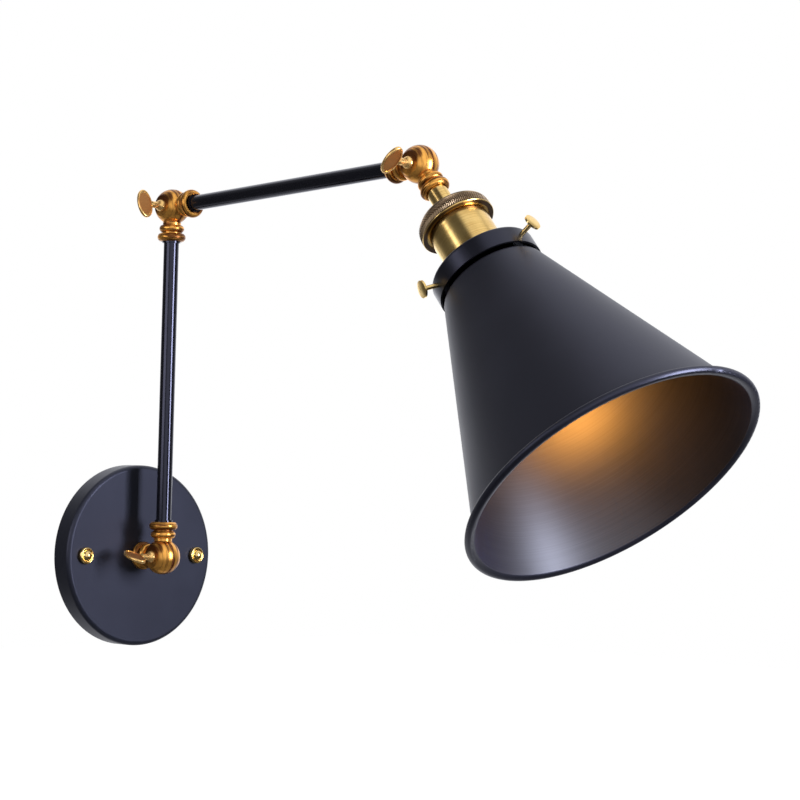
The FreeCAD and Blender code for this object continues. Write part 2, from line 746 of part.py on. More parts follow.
def lamp_holder():
    """Stem, bell-shaped cap with its neck, and brass shell."""
    slope = "holder_cap_slope * 1 deg"
    nut_room = "(lock_nut_radius + holder_cap_wall)"
    nut_start = (f"({CAP_TOP} + ({nut_room} - holder_cap_top_radius) * tan({slope})"
                 f" + holder_cap_wall / cos({slope}))")
    stem = sleeve("stem", "tube_bore", "tube_radius", TUBE_START,
                  f"{nut_start} - {TUBE_START} + lock_nut_height + nipple_tail")
    node(stem, "holder_stem", HEAD)
    node(hex_nut("stem_nut", nut_start), "holder_lock_nut", HEAD)
    inner = "(holder_cap_radius - holder_cap_wall)"
    round_centre = "(holder_cap_radius - holder_cap_round)"
    shoulder = f"({round_centre} + holder_cap_round * sin({slope}))"
    shoulder_top = f"({CAP_TOP} + ({shoulder} - holder_cap_top_radius) * tan({slope}))"
    skirt = f"({shoulder_top} + holder_cap_round * cos({slope}))"
    inner_round = "(holder_cap_round - holder_cap_wall)"
    lip_radius = "(holder_cap_radius - holder_cap_wall - holder_lip_width)"
    neck_top = f"({COLLAR} - recess_depth + hole_fit)"
    cap = turned("holder_bell", [
        ("tube_radius + thread_fit", neck_top),
        ("holder_neck_radius", neck_top),
        ("holder_neck_radius", CAP_TOP),
        ("holder_cap_top_radius", CAP_TOP),
        (shoulder, shoulder_top),
        ("holder_cap_radius", skirt, "holder_cap_round", "right"),
        ("holder_cap_radius", CAP_END),
        (lip_radius, CAP_END),
        (lip_radius, f"{CAP_END} - holder_lip_height"),
        (inner, f"{CAP_END} - holder_lip_height"),
        (inner, skirt),
        (f"{round_centre} + {inner_round} * sin({slope})", f"{skirt} - {inner_round} * cos({slope})",
         inner_round, "left"),
        (nut_room, nut_start),
        ("tube_radius + thread_fit", nut_start),
    ])
    node(cap, "holder_cap", HEAD)
    upper_bore = "(shell_radius - shell_wall)"
    lower_bore = "(shell_radius - shell_step - shell_wall)"
    shell = turned("holder_tube", [
        (f"{inner} - thread_fit", SHELL_TOP),
        (f"{inner} - thread_fit", f"{SHELL_TOP} + shell_collar_height"),
        ("shell_radius", f"{SHELL_TOP} + shell_collar_height"),
        ("shell_radius", GALLERY_TOP),
        ("shell_radius - shell_step", GALLERY_TOP),
        ("shell_radius - shell_step", SHELL_END),
        (lower_bore, SHELL_END),
        (lower_bore, f"{GALLERY_TOP} - shell_wall"),
        (upper_bore, f"{GALLERY_TOP} - shell_wall"),
        (upper_bore, SHELL_TOP),
    ])
    node(shell, "holder_shell", HEAD)


def insulator():
    """Insulator in the shell, with the leads, the screw shell and the contact for the bulb."""
    lower = "(shell_radius - shell_step - shell_wall - thread_fit)"
    upper = "(shell_radius - shell_wall - thread_fit)"
    step = f"({GALLERY_TOP} - shell_wall - face_fit)"
    bore = "(screw_shell_radius + thread_fit)"
    core = turned("insulator_core", [
        ("0", SHELL_TOP),
        (upper, SHELL_TOP),
        (upper, step),
        (lower, step),
        (lower, INSULATOR_END),
        (bore, INSULATOR_END),
        (bore, INSULATOR_BED),
        ("0", INSULATOR_BED),
    ])
    lead_x = "(lead_radius + hole_fit)"
    wells = [
        rod(f"lead_well_{side}", "lead_radius + thread_fit", "lead_grip * 2", x=f"{sign} * {lead_x}",
            z=f"{SHELL_TOP} - lead_grip")
        for side, sign in SIDES.items()
    ]
    node(cut("insulator_cut", core, wells), "holder_insulator", HEAD)
    leads_start = f"({CAP_TOP} - lead_grip)"
    leads = [
        rod(f"holder_lead_{side}", "lead_radius", f"{SHELL_TOP} + lead_grip - face_fit - {leads_start}",
            x=f"{sign} * {lead_x}", z=leads_start)
        for side, sign in SIDES.items()
    ]
    node(group("holder_lead_set", leads), "holder_leads", HEAD)
    screw_shell = sleeve("screw_shell", "screw_shell_radius - screw_shell_wall", "screw_shell_radius",
                         f"({INSULATOR_BED} + face_fit)",
                         f"{INSULATOR_END} - screw_shell_inset - {INSULATOR_BED}")
    node(screw_shell, "holder_screw_shell", HEAD)
    contact_round = crown_round("contact_radius", "contact_height / 2")
    contact = turned("contact", [
        ("0", INSULATOR_BED),
        ("contact_radius", INSULATOR_BED),
        ("contact_radius", f"{INSULATOR_BED} + contact_height / 2"),
        ("0", f"{INSULATOR_BED} + contact_height", contact_round, "right"),
    ])
    node(contact, "holder_contact", HEAD)


# Gallery and shade

SCREW_STATION = f"({GALLERY_TOP} + gallery_height / 2)"
GALLERY_BORE = "(shell_radius - shell_step + thread_fit)"


def at_gallery_screw(label, piece, index):
    """Turn a piece that lies along local X to the place of one gallery screw."""
    angle = f"gallery_screw_turn + {index} * 360 / {SCREW_COUNT}"
    return place(group(label, [piece]), angle=angle, axis=ALONG_Z)


def gallery():
    disc_end = f"({GALLERY_TOP} + gallery_wall)"
    round_start = "(gallery_radius - gallery_round)"
    cup = turned("gallery_cup", [
        (GALLERY_BORE, GALLERY_TOP),
        (round_start, GALLERY_TOP),
        ("gallery_radius", f"{GALLERY_TOP} + gallery_round", "gallery_round", "right"),
        ("gallery_radius", GALLERY_END),
        ("gallery_radius - gallery_wall", GALLERY_END),
        ("gallery_radius - gallery_wall", f"{GALLERY_TOP} + gallery_round"),
        (round_start, disc_end, "gallery_round - gallery_wall", "left"),
        (GALLERY_BORE, disc_end),
    ])
    holes = []
    for i in range(SCREW_COUNT):
        drill = rod(f"gallery_drill_{i}", "gallery_screw_radius + thread_fit", "gallery_radius * 2",
                    z=SCREW_STATION, angle="90")
        holes.append(at_gallery_screw(f"gallery_hole_{i}", drill, i))
    node(cut("gallery_cut", cup, holes), "shade_gallery", HEAD)
    nut = sleeve("shade_ring", GALLERY_BORE, "shade_nut_radius", disc_end, "shade_nut_height")
    node(nut, "shade_nut", HEAD)


def gallery_screws():
    tip = "(shade_neck_radius + hole_fit)"
    head = "(gallery_radius + gallery_screw_reach - gallery_screw_head_edge - gallery_screw_head_crown)"
    crown = "gallery_radius + gallery_screw_reach"
    for i in range(SCREW_COUNT):
        screw = turned(f"gallery_pin_{i}", [
            ("0", tip),
            ("gallery_screw_radius", tip),
            ("gallery_screw_radius", head),
            ("gallery_screw_head_radius", head),
            ("gallery_screw_head_radius", f"{head} + gallery_screw_head_edge"),
            ("0", crown, crown_round("gallery_screw_head_radius", "gallery_screw_head_crown"), "right"),
        ])
        place(screw, z=SCREW_STATION, angle="90", axis=ALONG_Y)
        turned_screw = at_gallery_screw(f"gallery_pin_{i}_turned", screw, i)
        node(group(f"gallery_pin_{i}_at", [turned_screw]), f"gallery_screw_{i + 1}", HEAD)


def shade():
    """Spun cone with a neck that hangs in the gallery and a mouth edge that flares out into a round lip."""
    neck_top = f"({GALLERY_TOP} + gallery_wall + shade_neck_room)"
    shoulder_top = f"({GALLERY_END} + shade_gap)"
    shoulder_end = f"({shoulder_top} + shade_shoulder)"
    mouth = f"({shoulder_end} + shade_height)"
    mouth_radius = "(shade_edge_radius - shade_lip_width)"
    flare = f"(({mouth_radius} - shade_top_radius) / shade_height)"
    slant = f"atan({flare})"
    thin = f"(shade_wall / cos({slant}))"
    lip_centre = "(shade_edge_radius - shade_edge_round)"
    inner_mouth = f"({mouth_radius} - {thin})"
    turn = f"({lip_centre} - {inner_mouth})"
    flare_round = f"({turn} / tan((90 deg - {slant}) / 2))"
    lip_top = f"({mouth} - 2 * shade_edge_round)"
    neck_bore = "(shade_neck_radius - shade_wall)"
    inner_top = f"({shoulder_end} + shade_wall)"
    node(turned("shade_cone", [
        (neck_bore, neck_top),
        ("shade_neck_radius + shade_neck_lip", neck_top),
        ("shade_neck_radius + shade_neck_lip", f"{neck_top} + shade_wall"),
        ("shade_neck_radius", f"{neck_top} + shade_wall"),
        ("shade_neck_radius", shoulder_top),
        ("shade_neck_radius + shade_ledge", shoulder_top),
        ("shade_top_radius", shoulder_end, "shade_shoulder_round", "right"),
        (f"{mouth_radius} - 2 * shade_edge_round * {flare}", lip_top),
        (lip_centre, lip_top),
        ("shade_edge_radius", f"{mouth} - shade_edge_round", "shade_edge_round", "right"),
        (lip_centre, mouth, "shade_edge_round", "right"),
        (f"{inner_mouth} - {turn} * sin({slant})", f"{mouth} - {turn} * cos({slant})", flare_round, "right"),
        (f"shade_top_radius - {thin} + shade_wall * {flare}", inner_top),
        ("shade_neck_radius + shade_ledge - shade_wall / 2", f"{shoulder_top} + shade_wall",
         "shade_shoulder_round", "left"),
        (neck_bore, f"{shoulder_top} + shade_wall"),
    ]), "shade", HEAD)


# Bulb

BULB_TIP = f"({INSULATOR_BED} + contact_height + face_fit)"
BULB_CAP = f"({BULB_TIP} + bulb_tip_length)"
BULB_NECK = f"({BULB_CAP} + bulb_cap_length)"
BULB_END = f"({BULB_NECK} + bulb_length)"


def bulb():
    cap_bore = "(bulb_cap_radius - bulb_cap_wall)"
    cap = turned("bulb_thread", [
        ("0", BULB_CAP),
        ("bulb_tip_radius + bulb_cap_wall", BULB_CAP),
        ("bulb_cap_radius", f"{BULB_CAP} + bulb_seat"),
        ("bulb_cap_radius", BULB_NECK),
        (cap_bore, BULB_NECK),
        (cap_bore, f"{BULB_CAP} + bulb_seat + bulb_cap_wall"),
        ("0", f"{BULB_CAP} + bulb_seat + bulb_cap_wall"),
    ])
    node(cap, "bulb_cap", HEAD)
    tip = turned("bulb_button", [
        ("0", BULB_TIP),
        ("bulb_tip_radius", BULB_CAP, crown_round("bulb_tip_radius", "bulb_tip_length"), "right"),
        ("0", BULB_CAP),
    ])
    node(tip, "bulb_tip_contact", HEAD)
    neck = f"({cap_bore} - thread_fit)"
    root = f"({BULB_NECK} - bulb_seat)"
    neck_end = f"({BULB_NECK} + bulb_neck_length)"
    centre = f"({BULB_END} - bulb_radius)"
    inner = "(bulb_radius - bulb_wall)"
    inner_neck = f"({neck} - bulb_wall)"
    glass = turned("bulb_envelope", [
        (inner_neck, root),
        (neck, root),
        (neck, BULB_NECK),
        ("bulb_cap_radius + bulb_wall", neck_end),
        ("bulb_radius", centre, "bulb_swell", "right"),
        ("0", BULB_END, "bulb_radius", "right"),
        ("0", f"{BULB_END} - bulb_wall"),
        (inner, centre, inner, "left"),
        ("bulb_cap_radius", neck_end, "bulb_swell", "left"),
        (inner_neck, BULB_NECK),
    ])
    node(glass, "bulb_glass", HEAD)
    stem_end = f"({root} + bulb_stem_length)"
    stem = turned("bulb_mount", [
        ("0", root),
        (f"{inner_neck} - thread_fit", root),
        (f"{inner_neck} - thread_fit", f"{root} + bulb_wall"),
        ("bulb_stem_radius", BULB_NECK),
        ("bulb_stem_tip_radius", f"{root} + bulb_stem_length / 2"),
        ("bulb_stem_tip_radius", stem_end),
        ("0", stem_end),
    ])
    node(stem, "bulb_stem", HEAD)
    ring = bind(doc.addObject("Part::Torus", "filament_ring"), Radius1="filament_ring_radius",
                Radius2="filament_wire_radius")
    place(ring, z=f"{stem_end} + filament_wire_radius")
    spoke_length = "(filament_ring_radius * 2)"
    spoke = rod("filament_spoke", "filament_wire_radius", spoke_length, x="-filament_ring_radius",
                z=f"{stem_end} + filament_wire_radius", angle="90")
    node(joined("filament", [ring, spoke]), "bulb_filament", HEAD)


canopy()
mounting_crossbar()
canopy_studs()
cap_nuts()
canopy_nipple()
terminal_block()
earth_screw()
canopy_leads()

KNUCKLES = {
    "base": (BASE_TO_WALL, "tube_radius", LOWER_ARM, "arm_tube_radius", BASE_BALL),
    "elbow": (ELBOW_TO_LOWER, "arm_tube_radius", UPPER_ARM, "arm_tube_radius", ELBOW_BALL),
    "head": (HEAD_TO_UPPER, "arm_tube_radius", HEAD, "tube_radius", HEAD_BALL),
}
for name, (carrier, carrier_socket, carried, carried_socket, centre) in KNUCKLES.items():
    knuckle_half(f"{name}_knuckle_inner", carrier, True, carrier_socket)
    knuckle_half(f"{name}_knuckle_outer", carried, False, carried_socket)
    friction_washer(f"{name}_friction_washer", centre)
    thumbscrew(f"{name}_thumbscrew", centre, f"{name}_wing_turn")

arm_tube("lower_arm", LOWER_ARM)
arm_tube("upper_arm", UPPER_ARM)
lamp_holder()
insulator()
gallery()
gallery_screws()
shade()
bulb()

doc.recompute()
failed = [obj.Name for obj in doc.Objects if {"Invalid", "Error"} & set(obj.State)]
failed += [obj.Label for obj in NODES if obj.Shape.isNull() or not obj.Shape.isValid()]
if failed:
    raise RuntimeError(f"not built: {failed}")

os.makedirs("parts", exist_ok=True)
for obj in NODES:
    obj.Shape.exportStep(f"parts/{obj.Label}.step")
    print(f"{obj.Label}: solids {len(obj.Shape.Solids)}, volume {obj.Shape.Volume:.1f}")
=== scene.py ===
# %% [markdown]
# # A swing arm wall lamp
# The construction comes ready made: every tube, ball and screw is loaded as a fixed frame, in
# metres, with +Z up and the wall at Y = 0. This lesson dresses that frame. It gives each surface
# its finish, models the details that a machined solid lacks, and sets up a small studio with a
# camera.

# %% Load the frame
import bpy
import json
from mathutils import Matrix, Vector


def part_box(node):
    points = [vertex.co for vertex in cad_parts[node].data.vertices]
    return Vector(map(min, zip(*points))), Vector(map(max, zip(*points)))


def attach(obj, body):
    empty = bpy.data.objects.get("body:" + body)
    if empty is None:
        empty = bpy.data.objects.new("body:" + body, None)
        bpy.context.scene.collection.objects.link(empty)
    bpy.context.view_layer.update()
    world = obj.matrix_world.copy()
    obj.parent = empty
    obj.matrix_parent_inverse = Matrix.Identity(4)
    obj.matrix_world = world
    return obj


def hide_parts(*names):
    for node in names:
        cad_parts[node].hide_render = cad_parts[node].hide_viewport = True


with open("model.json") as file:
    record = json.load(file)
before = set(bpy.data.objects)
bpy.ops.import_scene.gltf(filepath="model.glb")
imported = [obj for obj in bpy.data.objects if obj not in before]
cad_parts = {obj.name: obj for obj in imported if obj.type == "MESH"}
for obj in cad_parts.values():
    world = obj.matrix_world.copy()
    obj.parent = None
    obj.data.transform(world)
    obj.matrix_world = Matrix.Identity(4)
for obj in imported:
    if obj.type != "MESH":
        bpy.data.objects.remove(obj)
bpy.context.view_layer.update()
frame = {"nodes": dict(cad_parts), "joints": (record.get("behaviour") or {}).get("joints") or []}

# %% [markdown]
# ## Axes of the lamp
# Most finishes follow an axis: brush marks run round the holder, and turning marks run round a
# ball or a tube. The axes could be typed in as numbers, but the frame's joints already hold them.
# Read from there, they stay right if the arms change.

# %% Tools and axes
import json
import math

import bmesh
import bpy
from mathutils import Matrix, Vector

MM = 0.001
scene = bpy.context.scene
joint_at = {joint["name"]: Vector(joint["pos_m"]) for joint in frame["joints"]}
joint_axis = {joint["name"]: Vector(joint["axis"]) for joint in frame["joints"]}
base_ball = joint_at["base_hinge"]
elbow_ball = joint_at["elbow_hinge"]
head_ball = joint_at["head_hinge"]
wall_axis = Vector((0, 1, 0))
lower_axis = (elbow_ball - base_ball).normalized()
upper_axis = (head_ball - elbow_ball).normalized()
head_axis = (joint_at["gallery_screw_1_turn"] - head_ball).normalized()
print("arms:", round((elbow_ball - base_ball).length, 4), round((head_ball - elbow_ball).length, 4))

# %% [markdown]
# ## The camera
# The lamp is seen from its left, level with the canopy, with the picture turned a little. A
# tracking constraint could aim the camera, but it would hide the angles, so place and angles are
# set directly. A long lens keeps the two arms in proportion.

# %% Camera
CAMERA_AT = Vector((-1.0782, -1.3724, 0.0566))
CAMERA_YAW = math.radians(44.54)
CAMERA_PITCH = math.radians(1.975)
CAMERA_ROLL = math.radians(1.43)
SENSOR_WIDTH = 36
FOCAL_LENGTH = 108
camera_data = bpy.data.cameras.new("camera")
camera_data.sensor_width = SENSOR_WIDTH
camera_data.lens = FOCAL_LENGTH
camera = bpy.data.objects.new("camera", camera_data)
scene.collection.objects.link(camera)
camera.matrix_world = (
    Matrix.Translation(CAMERA_AT)
    @ Matrix.Rotation(-CAMERA_YAW, 4, "Z")
    @ Matrix.Rotation(math.pi / 2 + CAMERA_PITCH, 4, "X")
    @ Matrix.Rotation(CAMERA_ROLL, 4, "Z")
)
scene.camera = camera
scene.view_settings.view_transform = "Standard"
print("camera", round((CAMERA_AT - elbow_ball).length, 2), "m from the elbow")

# %% [markdown]
# ## Writing materials as sums
# A material is a graph of nodes, and a graph of Math nodes is hard to read. A small class wraps
# one socket, so that `1 - mask * 0.4` adds the nodes itself.


# %% A value on a surface
class Wire:
    """One number or colour that varies over a surface."""

    def __init__(self, finish, socket):
        self.finish = finish
        self.socket = socket

    def math(self, operation, *others):
        sockets = dict(enumerate((self, *others)))
        return self.finish.node("ShaderNodeMath", {"operation": operation}, sockets)

    def __add__(self, other):
        return self.math("ADD", other)

    def __mul__(self, other):
        return self.math("MULTIPLY", other)

    def __sub__(self, other):
        return self.math("SUBTRACT", other)

    def __rsub__(self, other):
        return self.finish.node("ShaderNodeMath", {"operation": "SUBTRACT"}, {0: other, 1: self})

    def __truediv__(self, other):
        return self.math("DIVIDE", other)

    def __pow__(self, other):
        return self.math("POWER", other)

    __radd__ = __add__
    __rmul__ = __mul__

    def ramp(self, low, high):
        """0 below low, 1 above high, smooth between."""
        settings = {"interpolation_type": "SMOOTHSTEP"}
        sockets = {"Value": self, "From Min": low, "From Max": high}
        return self.finish.node("ShaderNodeMapRange", settings, sockets)


print("sums on surfaces ready")

# %% [markdown]
# Every other node comes from one method, which takes the node's type, its settings and what goes
# into its sockets. The nodes could be drawn by hand in the editor, but a call is shorter to read
# and the same in every material. Patterns start from Object coordinates, moved and turned to the
# axis that they follow.

# %% Nodes of a finish
UP = Vector((0, 0, 1))
MIX_SOCKETS = {"VECTOR": (4, 5, 1), "RGBA": (6, 7, 2)}


def turn_to(along):
    """The rotation that takes +Z to a direction."""
    return UP.rotation_difference(Vector(along))


class Finish:
    """The nodes of a material or of the world."""

    def __init__(self, owner):
        owner.use_nodes = True
        self.owner = owner
        self.tree = owner.node_tree

    def node(self, kind, settings=None, sockets=None, output=0):
        made = self.tree.nodes.new(kind)
        for key, setting in (settings or {}).items():
            setattr(made, key, setting)
        for key, item in (sockets or {}).items():
            self.feed(made.inputs[key], item)
        return Wire(self, made.outputs[output])

    def feed(self, socket, item):
        if isinstance(item, Wire):
            self.tree.links.new(item.socket, socket)
        elif socket.type == "RGBA":
            socket.default_value = (*item, 1)
        else:
            socket.default_value = item

    def surface(self, **sockets):
        """Feed the Principled shader's sockets, named with underscores for spaces."""
        shader = self.tree.nodes["Principled BSDF"]
        for name, item in sockets.items():
            self.feed(shader.inputs[name.replace("_", " ").title().replace("Ior", "IOR")], item)
        return self.owner

    def local(self, origin=(0, 0, 0), along=UP):
        """Object coordinates from an origin, with Z turned along a direction."""
        point = self.node("ShaderNodeTexCoord", output="Object")
        sockets = {"Vector": point, "Location": origin, "Rotation": turn_to(along).to_euler()}
        return self.node("ShaderNodeMapping", {"vector_type": "TEXTURE"}, sockets)

    def to_world(self, direction, along):
        """Turn a direction from the frame of local(..., along) back to the world's."""
        sockets = {"Vector": direction, "Rotation": turn_to(along).to_euler()}
        turned = self.node("ShaderNodeMapping", {"vector_type": "VECTOR"}, sockets)
        settings = {"vector_type": "NORMAL", "convert_from": "OBJECT", "convert_to": "WORLD"}
        return self.node("ShaderNodeVectorTransform", settings, {"Vector": turned})

    def stretched(self, vector, scale):
        settings = {"operation": "MULTIPLY"}
        return self.node("ShaderNodeVectorMath", settings, {0: vector, 1: scale})

    def length(self, vector):
        return self.node("ShaderNodeVectorMath", {"operation": "LENGTH"}, {0: vector}, "Value")

    def parts(self, vector):
        split = self.tree.nodes.new("ShaderNodeSeparateXYZ")
        self.feed(split.inputs[0], vector)
        return [Wire(self, socket) for socket in split.outputs]

    def noise(self, vector, scale=1, detail=2.0, roughness=0.5):
        sockets = {"Vector": vector, "Scale": scale, "Detail": detail, "Roughness": roughness}
        return self.node("ShaderNodeTexNoise", None, sockets)

    def mix(self, factor, first, second, kind="RGBA"):
        """Blend two colours or two vectors. A Mix node has its own sockets for each kind."""
        first_socket, second_socket, output = MIX_SOCKETS[kind]
        sockets = {"Factor": factor, first_socket: first, second_socket: second}
        return self.node("ShaderNodeMix", {"data_type": kind}, sockets, output)

    def bump(self, height, strength, distance, **more):
        sockets = {"Height": height, "Strength": strength, "Distance": distance, **more}
        return self.node("ShaderNodeBump", None, sockets)


print("nodes by name ready")

# %% Dressing
dressed = set()


def new_finish(name):
    return Finish(bpy.data.materials.new(name))


def dress(material, *nodes):
    """Give CAD nodes a finish."""
    for node in nodes:
        slots = frame["nodes"][node].data.materials
        slots.clear()
        slots.append(material)
        dressed.add(node)


print("nodes to dress:", len(frame["nodes"]))

# %% [markdown]
# ## Black enamel
# The canopy is sprayed with a satin black, and the gallery and the tubes with a darker, glossier
# coat. One flat black would do from afar, but its highlights would be too clean. Black paint is
# hardly ever plain: its gloss has a blue cast, and the sprayed film has a slight orange peel. So
# noise at two scales moves the tone and the roughness, and a shallow bump breaks up the
# highlights.

# %% Black enamel
SATIN_BLACK = (0.008, 0.009, 0.013)
CUP_BLACK = (0.004, 0.004, 0.005)
BLUE_GLOSS = (0.68, 0.70, 1.0)
PAINT_IOR = 1.58
PAINT_GRAIN = 1500
PEEL_HEIGHT = 0.02 * MM
CLOUD_LIGHT = 1.4


def clouded(finish, cloud, tone):
    """A paint's tone, lighter in soft patches."""
    lighter = tuple(CLOUD_LIGHT * channel for channel in tone)
    return finish.mix(cloud.ramp(0.35, 0.7), tone, lighter)


def black_enamel(name, tone, roughness, peel):
    finish = new_finish(name)
    place = finish.local()
    cloud = finish.noise(place, scale=26, detail=3)
    grain = finish.noise(place, scale=PAINT_GRAIN, detail=1)
    return finish.surface(
        base_color=clouded(finish, cloud, tone),
        roughness=roughness + (cloud - 0.5) * 0.08 + (grain - 0.5) * 0.06,
        normal=finish.bump(grain, strength=peel, distance=PEEL_HEIGHT),
        specular_tint=BLUE_GLOSS,
        ior=PAINT_IOR,
    )


dress(black_enamel("satin_black_enamel", SATIN_BLACK, roughness=0.42, peel=0.25), "canopy")
dress(black_enamel("cup_black_enamel", CUP_BLACK, roughness=0.3, peel=0.2), "shade_gallery")
dress(black_enamel("gloss_black_enamel", CUP_BLACK, roughness=0.15, peel=0.05),
      "lower_arm_tube", "upper_arm_tube", "lower_arm_lock_rings", "upper_arm_lock_rings")
print("painted the canopy, gallery and tubes")

# %% [markdown]
# ## The shade
# The shade was spun from sheet, and its inside keeps the fine rings of the spinning tool under a
# thin coat with a silver sheen. Two materials would need the faces sorted into two sets. Here one
# material paints both sides: it compares each point's distance from the head's axis with the
# middle of the wall, which is a straight line from neck to lip. The rolled lip is a little
# glossier than the wall.
#
# The sheen is so even that it would show a seam between the long triangles of the mesh. A cone's
# normal is easy to work out, so the inside uses that instead of the mesh's own.

# %% Normal of the shade's cone
CONE_TOP = 106.4 * MM
CONE_TOP_RADIUS = 35.3 * MM
CONE_FLARE = 0.3714


def radius_of(across, up):
    return (across * across + up * up) ** 0.5


def cone_normal(finish, across, up):
    """The inner cone's normal, towards the axis and a little towards the mouth."""
    steepness = (1 + CONE_FLARE ** 2) ** 0.5
    inward = -1 / steepness
    radius = radius_of(across, up)
    spoke = {0: across / radius * inward, 1: up / radius * inward, 2: CONE_FLARE / steepness}
    return finish.to_world(finish.node("ShaderNodeCombineXYZ", None, spoke), head_axis)


print("the shade opens by", round(2 * math.degrees(math.atan(CONE_FLARE)), 1), "degrees")

# %% Shade finish
HALF_WALL = 0.42 * MM
WALL_BLEND = 0.3 * HALF_WALL
LIP_START = 259.5 * MM
LIP_BLEND = 1.5 * MM
SHADE_BLACK = (0.007, 0.007, 0.010)
SHEEN_DARK = (0.071, 0.072, 0.083)
SHEEN_LIGHT = (0.083, 0.085, 0.097)
SPINNING_RINGS = (10, 10, 1700)


def shade_enamel(name):
    finish = new_finish(name)
    place = finish.local(head_ball, head_axis)
    across, up, station = finish.parts(place)
    wall_middle = (station - CONE_TOP) * CONE_FLARE + (CONE_TOP_RADIUS - HALF_WALL)
    inside = (wall_middle - radius_of(across, up)).ramp(-WALL_BLEND, WALL_BLEND)
    lip = station.ramp(LIP_START, LIP_START + LIP_BLEND) * (1 - inside)
    cloud = finish.noise(place, scale=22, detail=3)
    grain = finish.noise(place, scale=PAINT_GRAIN, detail=1)
    rings = finish.noise(finish.stretched(place, SPINNING_RINGS), detail=3, roughness=0.6)
    sheen = finish.mix(rings.ramp(0.3, 0.7), SHEEN_DARK, SHEEN_LIGHT)
    unevenness = (cloud - 0.5) * 0.08 + (grain - 0.5) * 0.05 + inside * (rings - 0.5) * 0.03
    mesh_normal = finish.node("ShaderNodeNewGeometry", output="Normal")
    smooth = finish.mix(inside, mesh_normal, cone_normal(finish, across, up), "VECTOR")
    relief = grain * 0.3 + inside * rings * 0.25
    return finish.surface(
        base_color=finish.mix(inside, clouded(finish, cloud, SHADE_BLACK), sheen),
        metallic=inside,
        roughness=0.45 + unevenness - lip * 0.14,
        normal=finish.bump(relief, strength=0.2, distance=PEEL_HEIGHT, Normal=smooth),
        specular_tint=BLUE_GLOSS,
        ior=PAINT_IOR,
    )


dress(shade_enamel("shade_enamel"), "shade")
print("painted the shade, outside and inside")

# %% [markdown]
# ## Antique brass
# The knuckles were turned on a lathe, dipped to darken them and then buffed, so the high spots
# are gold and the grooves stay brown. The tool's rings run about the hinge on the ball and about
# the tube's axis on the collar. Ball and collar could each have a material, but they are one
# piece. So one function paints both, and the distance from the ball's centre tells which of the
# two a point belongs to.

# %% Antique brass
BALL_RADIUS = 12.5 * MM
BALL_SKIN = (1.004 * BALL_RADIUS, 1.02 * BALL_RADIUS)
HINGE_AXIS = Vector((1, 0, 0))
BALL_RINGS = (45, 45, 420)
COLLAR_RINGS = (60, 60, 800)
GOLD = (0.97, 0.46, 0.09)
BROWN = (0.17, 0.058, 0.013)


def antique_brass(name, ball, along):
    finish = new_finish(name)
    on_collar = finish.local(ball, along)
    on_hinge = finish.local(ball, HINGE_AXIS)
    ball_skin = 1 - finish.length(on_hinge).ramp(*BALL_SKIN)
    ball_rings = finish.noise(finish.stretched(on_hinge, BALL_RINGS), detail=3)
    collar_rings = finish.noise(finish.stretched(on_collar, COLLAR_RINGS), detail=3)
    rings = collar_rings + (ball_rings - collar_rings) * ball_skin
    cloud = finish.noise(on_hinge, scale=110, detail=4)
    tarnish = (rings * 0.75 + cloud * 0.25).ramp(0.42, 0.57)
    return finish.surface(
        base_color=finish.mix(tarnish, GOLD, BROWN),
        metallic=0.85,
        roughness=0.28 + tarnish * 0.08,
        normal=finish.bump(rings, strength=0.25, distance=0.05 * MM),
    )


for knuckle, ball, near_axis, far_axis in (
    ("base", base_ball, wall_axis, lower_axis),
    ("elbow", elbow_ball, lower_axis, upper_axis),
    ("head", head_ball, upper_axis, head_axis),
):
    for half, axis in (("inner", near_axis), ("outer", far_axis)):
        brass = antique_brass(f"antique_brass_{knuckle}_{half}", ball, axis)
        dress(brass, f"{knuckle}_knuckle_{half}")
print("brass on the knuckles")

# %% [markdown]
# ## Thumbscrews
# Each wing is a small casting with a dished face. Fingers keep its rim bright, while the dish
# holds the brown. A painted mask could mark the dish, but it is simply an ellipse in the wing's
# own plane. So the coordinates are turned with the wing and squeezed until it is a circle.

# %% Thumbscrew brass
WING_DEGREES = {"base": 20, "elbow": 74, "head": -47}
WING_CENTRE = -25.4 * MM
WING_HALF_WIDTH = 7.2 * MM
WING_HALF_LENGTH = 10.3 * MM
COPPER_BROWN = (0.64, 0.28, 0.085)
WORN_RIM = (1.0, 0.62, 0.22)


def thumbscrew_brass(name, ball, wing_turn):
    finish = new_finish(name)
    face = (0, -math.sin(wing_turn), math.cos(wing_turn))
    place = finish.local(ball, face)
    out, along, _ = finish.parts(place)
    out_share = (out - WING_CENTRE) / WING_HALF_WIDTH
    along_share = along / WING_HALF_LENGTH
    dish = 1 - (out_share * out_share + along_share * along_share).ramp(0.50, 0.66)
    cloud = finish.noise(place, scale=150, detail=4)
    pits = finish.noise(place, scale=900, detail=2)
    brown = (dish * 0.8 + (cloud - 0.5) * 0.9).ramp(0.1, 0.6)
    return finish.surface(
        base_color=finish.mix(brown, WORN_RIM, COPPER_BROWN),
        metallic=0.85,
        roughness=0.26 + brown * 0.1,
        normal=finish.bump(pits, strength=0.2, distance=0.05 * MM),
    )


for knuckle, degrees in WING_DEGREES.items():
    ball = joint_at[f"{knuckle}_hinge"]
    brass = thumbscrew_brass(f"thumbscrew_brass_{knuckle}", ball, math.radians(degrees))
    dress(brass, f"{knuckle}_thumbscrew")
print("brass on the thumbscrews")

# %% [markdown]
# ## Brass of the lamp holder
# The holder's shell is yellower and brushed around its axis. The small screws and cap nuts are the
# brightest. A picture of brushed metal would have to be wrapped round each piece. Stretched noise
# needs no wrapping: it hardly changes around the axis and changes fast along it.

